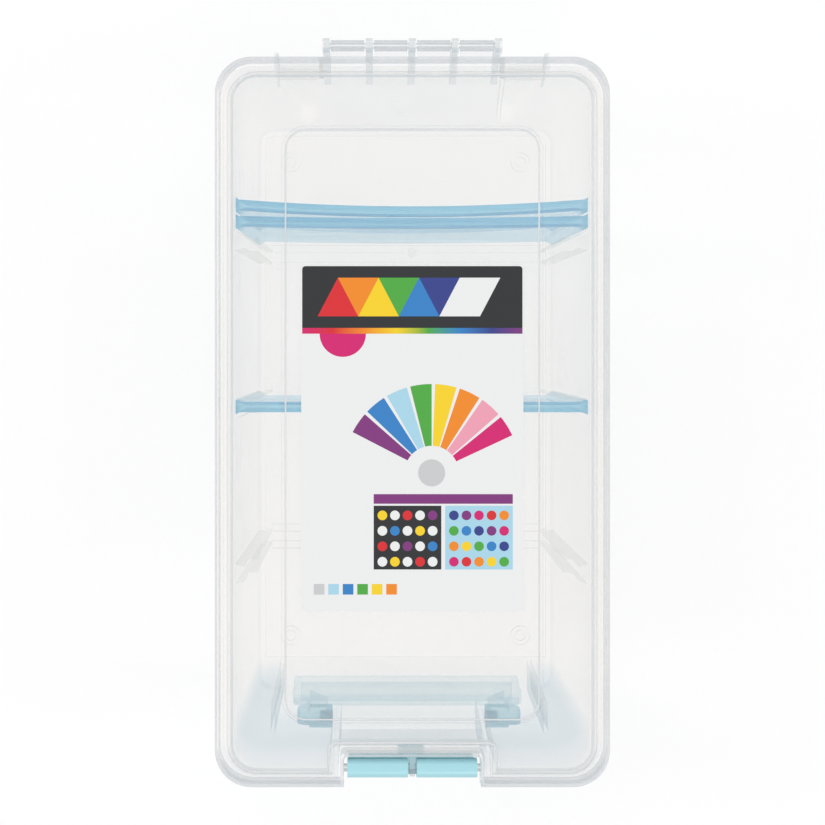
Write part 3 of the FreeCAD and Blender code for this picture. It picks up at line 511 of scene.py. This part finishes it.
def dress(node: str, material: bpy.types.Material) -> None:
    """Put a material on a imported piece.

    Args:
        node: The piece's name.
        material: What it is made of.
    """
    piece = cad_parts[node]
    if piece.material_slots:
        for slot in piece.material_slots:
            slot.material = material
    else:
        piece.data.materials.append(material)
    log.info("%s: %s", node, material.name)


@dataclass
class Mouldings:
    """The case's moulded pieces and the finish of each."""

    finishes: dict[str, Moulding] = field(
        default_factory=lambda: {
            "base": CLEAR_BASE,
            "base_floor": CLEAR_FLOOR,
            "lid": CLEAR_LID,
            "latch": AQUA_LATCH,
            "handle": AQUA_HANDLE,
            "divider_middle": TINTED,
            "divider_rear_inner": TINTED,
            "divider_rear_outer": TINTED,
        }
    )

    def dress(self) -> None:
        """Give every moulded piece its material."""
        made: dict[str, bpy.types.Material] = {}
        for node, finish in self.finishes.items():
            if finish.name not in made:
                made[finish.name] = finish.build()
            dress(node, made[finish.name])


def add_piece(
    name: str,
    points: list[Spot],
    faces: list[list[int]],
    node: str,
    materials: list[bpy.types.Material],
) -> bpy.types.Object:
    """Add a piece that moves with a packed one.

    Args:
        name: Its name.
        points: Corners in millimetres.
        faces: Corner numbers of each face.
        node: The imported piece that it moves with.
        materials: Its materials.

    Returns:
        The new piece.
    """
    mesh = bpy.data.meshes.new(name)
    mesh.from_pydata([tuple(c * MM for c in point) for point in points], [], faces)
    for material in materials:
        mesh.materials.append(material)
    piece = bpy.data.objects.new(name, mesh)
    bpy.context.collection.objects.link(piece)
    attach(piece, node)
    log.info("%s: %d faces on %s", name, len(faces), node)
    return piece


def rectangle(left: float, low: float, right: float, high: float) -> list[Point]:
    """Outline of a rectangle.

    Args:
        left: Left edge in millimetres.
        low: Lower edge.
        right: Right edge.
        high: Upper edge.

    Returns:
        Its corners.
    """
    return [(left, low), (right, low), (right, high), (left, high)]


def rounded(corners: list[Spot]) -> list[Point]:
    """Outline through corners that are rounded to a radius.

    Args:
        corners: X, Y and radius of each corner, in order round the outline.

    Returns:
        Points round the outline.
    """
    points: list[Point] = []
    for i, (x, y, radius) in enumerate(corners):
        sides = []
        for far in (corners[i - 1], corners[(i + 1) % len(corners)]):
            run = math.hypot(far[0] - x, far[1] - y)
            sides.append(((far[0] - x) / run * radius, (far[1] - y) / run * radius))
        (ax, ay), (bx, by) = sides
        for step in range(ROUND_STEPS + 1 if radius else 1):
            turn = step / ROUND_STEPS * math.pi / 2
            first, last = 1.0 - math.sin(turn), 1.0 - math.cos(turn)
            points.append((x + first * ax + last * bx, y + first * ay + last * by))
    return points


def sector(middle: Point, radius: float, start: float = 0.0, end: float = 360.0, inner: float = 0.0) -> list[Point]:
    """Outline of a disc, a slice or part of a ring.

    Args:
        middle: Centre in millimetres.
        radius: Outer radius.
        start: First angle in degrees.
        end: Last angle in degrees.
        inner: Inner radius, or zero for a slice.

    Returns:
        Points round the outline.
    """
    steps = max(DISC_STEPS, int((end - start) / DISC_STEP))
    full = end - start >= 360.0
    angles = [math.radians(start + (end - start) * i / steps) for i in range(steps if full else steps + 1)]
    rim = [(middle[0] + radius * math.cos(a), middle[1] + radius * math.sin(a)) for a in angles]
    if inner > 0.0:
        return rim + [(middle[0] + inner * math.cos(a), middle[1] + inner * math.sin(a)) for a in reversed(angles)]
    return rim if full else [middle, *rim]


@dataclass
class Edges:
    """Rounded edges of the lid and steps beside the hinge, in millimetres.

    The lid's outlines are about its own middle, which lies back from the middle of the case. Tray and panel have half
    their width, their front and rear reach and their corner's radius, and the notch half its width, its reach and its
    corner's radius.
    """

    back: float = 5.05
    bead: float = 0.4
    sides: int = 6
    tray: Extent = (93.6, 180.1, 179.1, 13.4)
    tray_level: float = 158.6
    notch: Spot = (43.1, 165.2, 4.3)
    panel: Extent = (65.6, 154.1, 151.1, 10.6)
    panel_level: float = 155.2
    gate: Point = (0.0, 82.55)
    gate_radius: float = 1.8
    gate_level: float = 154.7
    step_aside: Point = (46.4, 48.7)
    step_along: Point = (175.0, 185.6)
    step_up: Point = (141.5, 145.8)

    def loop(self, name: str, outline: list[Point], level: float, material: bpy.types.Material) -> None:
        """Lay a thin round bead along a closed outline of the lid.

        Args:
            name: The bead's name.
            outline: Points round the outline.
            level: Height of the bead's middle.
            material: What it is made of.
        """
        points: list[Spot] = []
        for i, (x, y) in enumerate(outline):
            before, after = outline[i - 1], outline[(i + 1) % len(outline)]
            run = math.hypot(after[0] - before[0], after[1] - before[1])
            out = ((after[1] - before[1]) / run, (before[0] - after[0]) / run)
            for side in range(self.sides):
                turn = 2 * math.pi * side / self.sides
                reach = self.bead * math.cos(turn)
                points.append((x + reach * out[0], y + reach * out[1], level + self.bead * math.sin(turn)))
        count = len(points)
        faces = []
        for here in range(0, count, self.sides):
            there = (here + self.sides) % count
            for side in range(self.sides):
                ahead = (side + 1) % self.sides
                faces.append([here + side, there + side, there + ahead, here + ahead])
        piece = add_piece(name, points, faces, "lid", [material])
        piece.data.shade_smooth()

    def dress(self) -> None:
        """Lay the lid's edges and set a step beside each end ear of the hinge."""
        clear = CLEAR_EDGE.build()
        half, front, rear, corner = self.tray
        gap, depth, inner = self.notch
        tray = [
            (-gap, -depth, inner), (gap, -depth, inner), (gap, -front, 0.0), (half, -front, corner),
            (half, rear, corner), (-half, rear, corner), (-half, -front, corner), (-gap, -front, 0.0),
        ]
        self.loop("tray_edge", rounded([(x, y - self.back, r) for x, y, r in tray]), self.tray_level, clear)
        half, front, rear, corner = self.panel
        panel = [(x, y - self.back, corner) for x, y in rectangle(-half, -front, half, rear)]
        self.loop("panel_edge", rounded(panel), self.panel_level, clear)
        self.loop("gate_ring", sector(self.gate, self.gate_radius), self.gate_level, clear)
        for name, side in (("hinge_step_left", -1), ("hinge_step_right", 1)):
            across = sorted(side * x for x in self.step_aside)
            points = [(x, y, z) for x in across for y in self.step_along for z in self.step_up]
            add_piece(name, points, BOX_FACES, "base", [clear])


@dataclass
class Patch:
    """One printed shape: its outline in millimetres from the label's middle, its ink and its layer."""

    points: list[Point]
    ink: Ink
    layer: int = 1


@dataclass
class Label:
    """The paper label and its print: a plain design of coloured shapes, in millimetres from the label's middle."""

    width: float = 115.0
    length: float = 179.0
    margin: float = 0.5
    corner: float = 1.7
    ink_lift: float = 0.02
    header: float = 32.0
    stripe: float = 3.0
    tab_place: float = -36.0
    tab_radius: float = 12.0
    ribbon_inset: Point = (8.0, 6.0)
    ribbon_pitch: float = 10.5
    ribbon_height: float = 20.0
    fan_middle: Point = (10.0, -18.0)
    fan_reach: Point = (14.0, 46.0)
    fan_turn: Point = (25.0, 155.0)
    fan_hub: float = 7.0
    card_cover: float = 0.86
    band: Extent = (-20.0, -34.0, 52.0, -29.0)
    panel_lefts: Point = (-20.0, 17.0)
    panel_ends: Point = (-68.0, -35.0)
    panel_width: float = 35.0
    bead_grid: tuple[int, int] = (5, 4)
    bead_first: Point = (4.5, 4.0)
    bead_pitch: Point = (6.5, 8.0)
    bead_radius: float = 2.5
    swatch_inset: Point = (6.0, 8.0)
    swatch_pitch: float = 7.5
    swatch: float = 5.5

    def patches(self) -> list[Patch]:
        """Lay out the print.

        Returns:
            Every printed shape.
        """
        half, top = self.width / 2 - self.margin, self.length / 2 - self.margin
        head = top - self.header
        under = head - self.stripe
        corners = [(-half, head, 0.0), (half, head, 0.0), (half, top, self.corner), (-half, top, self.corner)]
        shapes = [Patch(rounded(corners), Ink.BLACK)]
        shapes += self.zigzag(-half + self.ribbon_inset[0], head + self.ribbon_inset[1])
        shapes.append(Patch(rectangle(-half, under, half, head), Ink.BLEND))
        shapes.append(Patch(sector((self.tab_place, under), self.tab_radius, 180.0, 360.0), Ink.MAGENTA))
        shapes += self.fan()
        shapes += self.buttons()
        shapes += self.swatches(-half + self.swatch_inset[0], -top + self.swatch_inset[1])
        return shapes

    def zigzag(self, left: float, low: float) -> list[Patch]:
        """A ribbon of coloured triangles on the dark header.

        Args:
            left: Where the ribbon starts.
            low: Its lower edge.

        Returns:
            The triangles.
        """
        shapes = []
        pitch, high = self.ribbon_pitch, low + self.ribbon_height
        for i, ink in enumerate((*RAINBOW[1:7], Ink.PAPER, Ink.PAPER)):
            x = left + i * pitch
            ends = (low, high) if i % 2 == 0 else (high, low)
            points = [(x, ends[0]), (x + 2 * pitch, ends[0]), (x + pitch, ends[1])]
            shapes.append(Patch(points if i % 2 == 0 else points[::-1], ink, 2))
        return shapes

    def fan(self) -> list[Patch]:
        """A fan of colour cards on a grey hub.

        Returns:
            The cards and the hub.
        """
        inks = (Ink.MAGENTA, Ink.PINK, Ink.ORANGE, Ink.YELLOW, Ink.GREEN, Ink.SKY, Ink.BLUE, Ink.VIOLET)
        inner, outer = self.fan_reach
        first, last = self.fan_turn
        turn = (last - first) / len(inks)
        cards = []
        for i, ink in enumerate(inks):
            start, end = first + i * turn, first + (i + self.card_cover) * turn
            cards.append(Patch(sector(self.fan_middle, outer, start, end, inner), ink))
        cards.append(Patch(sector(self.fan_middle, self.fan_hub), Ink.GREY))
        return cards

    def buttons(self) -> list[Patch]:
        """Two picture panels of round beads, one dark and one pale, under a violet band.

        Returns:
            The panels and beads.
        """
        shapes = [Patch(rectangle(*self.band), Ink.VIOLET)]
        low, high = self.panel_ends
        columns, rows = self.bead_grid
        for left, ink in zip(self.panel_lefts, (Ink.BLACK, Ink.SKY)):
            shapes.append(Patch(rectangle(left, low, left + self.panel_width, high), ink))
            for row in range(rows):
                for column in range(columns):
                    if ink is Ink.SKY:
                        bead = RAINBOW[(2 * row + column) % len(RAINBOW)]
                    elif (row + column) % 2:
                        bead = RAINBOW[(row + 3 * column) % len(RAINBOW)]
                    else:
                        bead = Ink.PAPER
                    x = left + self.bead_first[0] + self.bead_pitch[0] * column
                    y = low + self.bead_first[1] + self.bead_pitch[1] * row
                    shapes.append(Patch(sector((x, y), self.bead_radius), bead, 2))
        return shapes

    def swatches(self, left: float, low: float) -> list[Patch]:
        """A row of small colour squares.

        Args:
            left: Where the row starts.
            low: Its lower edge.

        Returns:
            The squares.
        """
        shapes = []
        for i, ink in enumerate((Ink.GREY, Ink.SKY, Ink.BLUE, Ink.GREEN, Ink.YELLOW, Ink.ORANGE)):
            x = left + self.swatch_pitch * i
            shapes.append(Patch(rectangle(x, low, x + self.swatch, low + self.swatch), ink))
        return shapes

    def lay_back(self, middle: list[float], level: float, paper: bpy.types.Material) -> None:
        """Show the paper's gummed back through the lid.

        Args:
            middle: The label's middle in millimetres.
            level: Height of the back.
            paper: What it is made of.
        """
        half, top = self.width / 2 - self.margin, self.length / 2 - self.margin
        corners = [(-half, -top), (-half, top), (half, top), (half, -top)]
        outline = rounded([(x, y, self.corner) for x, y in corners])
        points = [(middle[0] + x, middle[1] + y, level) for x, y in outline]
        add_piece("label_back", points, [list(range(len(points)))], "lid", [paper])

    def dress(self) -> None:
        """Finish the paper and lay its back under it and the print on it."""
        paper = Print("coated_paper_white", Ink.PAPER).build()
        dress("label", paper)
        low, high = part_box("label")
        middle = [(a + b) / 2 / MM for a, b in zip(low, high)]
        self.lay_back(middle, low[2] / MM - self.ink_lift, paper)
        points: list[Spot] = []
        faces: list[list[int]] = []
        inks: list[Ink] = []
        for patch in self.patches():
            first = len(points)
            level = high[2] / MM + patch.layer * self.ink_lift
            points += [(middle[0] + x, middle[1] + y, level) for x, y in patch.points]
            faces.append(list(range(first, len(points))))
            inks.append(patch.ink)
        order = list(dict.fromkeys(inks))
        materials = [Print(f"offset_ink_{ink.name.lower()}", ink).build() for ink in order]
        piece = add_piece("label_print", points, faces, "lid", materials)
        for polygon, ink in zip(piece.data.polygons, inks):
            polygon.material_index = order.index(ink)


def seen(tree: bpy.types.NodeTree) -> bpy.types.NodeSocket:
    """Tell what is seen, straight or by mirror or glass, from what only lights.

    Args:
        tree: Tree that gets the nodes.

    Returns:
        1 for a ray that shows the background, else 0.
    """
    path = add_node(tree, "ShaderNodeLightPath").outputs
    share = path["Is Camera Ray"]
    for name in ("Is Glossy Ray", "Is Transmission Ray"):
        share = add_node(
            tree, "ShaderNodeMath", {"operation": "MAXIMUM"}, {0: share, 1: path[name]},
        ).outputs["Value"]
    return share


@dataclass(frozen=True)
class Lamp:
    """A soft box that points at the case: its power in watts, and its size and place in metres."""

    name: str
    power: float
    size: float
    place: Spot


@dataclass
class Studio:
    """White paper floor, soft light and the camera straight above the case.

    Shadow is how much of the floor's white is lit and not its own, so that the case's shadow shows. It fades out over
    the distance shadow_fades, in metres.
    """

    camera_mm: Spot = (-19.85, 36.7, 879.0)
    lens: float = 61.05
    sensor: float = 36.0
    shift: Point = (0.0467, -0.0867)
    near: float = 0.01
    floor_half: float = 4.0
    floor_drop_mm: float = 0.2
    paper: str = "f4f4f4"
    paper_mm: float = 2.0
    world: float = 0.55
    shadow: float = 0.2
    shadow_fades: Point = (0.4, 1.6)
    layers: int = 48
    lamps: tuple[Lamp, ...] = (
        Lamp("lamp_left", 11.0, 0.4, (-1.5, 0.3, 1.6)),
        Lamp("lamp_right", 9.0, 0.4, (1.5, -0.2, 1.6)),
        Lamp("lamp_rear", 6.0, 0.4, (-0.2, 1.6, 1.6)),
        Lamp("lamp_front", 7.0, 0.4, (0.2, -1.7, 1.5)),
    )

    def sweep(self) -> bpy.types.Material:
        """White studio paper, matt and faintly fibrous, that is seen as white and keeps a pale shadow.

        Returns:
            The finished material.
        """
        material, tree, coordinates = start_material("white_paper_sweep")
        place = coordinates["Object"]
        fibre = add_node(tree, "ShaderNodeTexNoise", {"Scale": per_size(self.paper_mm)}, {"Vector": place})
        bump = add_node(tree, "ShaderNodeBump", {"Strength": PAPER_BUMP}, {"Height": fibre.outputs["Fac"]})
        normal = {"Normal": bump.outputs["Normal"]}
        matt = add_node(tree, "ShaderNodeBsdfDiffuse", {"Color": linear(self.paper)}, normal)
        away = add_node(tree, "ShaderNodeVectorMath", {"operation": "LENGTH"}, {0: place})
        strength = add_node(
            tree, "ShaderNodeMapRange",
            span(*self.shadow_fades, 1.0 - self.shadow, 1.0), {"Value": away.outputs["Value"]},
        )
        glow = add_node(
            tree, "ShaderNodeEmission", {"Color": WHITE}, {"Strength": strength.outputs["Result"]},
        )
        shaded = add_node(tree, "ShaderNodeBsdfDiffuse", {"Color": (self.shadow,) * 3 + (1.0,)}, normal)
        white = add_node(
            tree, "ShaderNodeAddShader", {}, {0: glow.outputs["Emission"], 1: shaded.outputs["BSDF"]},
        )
        mixed = add_node(
            tree, "ShaderNodeMixShader", {},
            {0: seen(tree), 1: matt.outputs["BSDF"], 2: white.outputs["Shader"]},
        )
        add_node(tree, "ShaderNodeOutputMaterial", {}, {"Surface": mixed.outputs["Shader"]})
        return material

    def floor(self) -> None:
        """A seamless white floor."""
        mesh = bpy.data.meshes.new("floor")
        half = self.floor_half
        corners = [(x, y, 0.0) for x, y in rectangle(-half, -half, half, half)]
        mesh.from_pydata(corners, [], [(0, 1, 2, 3)])
        mesh.materials.append(self.sweep())
        piece = bpy.data.objects.new("floor", mesh)
        piece.location.z = -self.floor_drop_mm * MM
        bpy.context.collection.objects.link(piece)

    def light(self) -> None:
        """Soft boxes and an even sky, which is seen as white."""
        sky = bpy.data.worlds.new("studio")
        bpy.context.scene.world = sky
        sky.use_nodes = True
        tree = sky.node_tree
        tree.nodes.clear()
        strength = add_node(tree, "ShaderNodeMapRange", span(0.0, 1.0, self.world, 1.0), {"Value": seen(tree)})
        back = add_node(
            tree, "ShaderNodeBackground", {"Color": WHITE}, {"Strength": strength.outputs["Result"]},
        )
        add_node(tree, "ShaderNodeOutputWorld", {}, {"Surface": back.outputs["Background"]})
        for lamp in self.lamps:
            data = bpy.data.lights.new(lamp.name, "AREA")
            data.energy = lamp.power
            data.size = lamp.size
            box = bpy.data.objects.new(lamp.name, data)
            box.location = lamp.place
            box.rotation_euler = (-box.location).to_track_quat("-Z", "Y").to_euler()
            bpy.context.collection.objects.link(box)

    def camera(self) -> None:
        """The photo's camera: straight down, with its view shifted sideways."""
        data = bpy.data.cameras.new("above")
        data.lens = self.lens
        data.sensor_width = self.sensor
        data.shift_x, data.shift_y = self.shift
        data.clip_start = self.near
        eye = bpy.data.objects.new("above", data)
        eye.location = tuple(c * MM for c in self.camera_mm)
        bpy.context.collection.objects.link(eye)
        bpy.context.scene.camera = eye

    def set_up(self) -> None:
        """Build the studio."""
        self.floor()
        self.light()
        self.camera()
        scene = bpy.context.scene
        scene.view_settings.view_transform = "Standard"
        scene.cycles.transparent_max_bounces = self.layers
        log.info("studio ready")


def main() -> None:
    """Dress the case and set up the studio."""
    Mouldings().dress()
    Edges().dress()
    Label().dress()
    Studio().set_up()


if __name__ == "__main__":
    main()
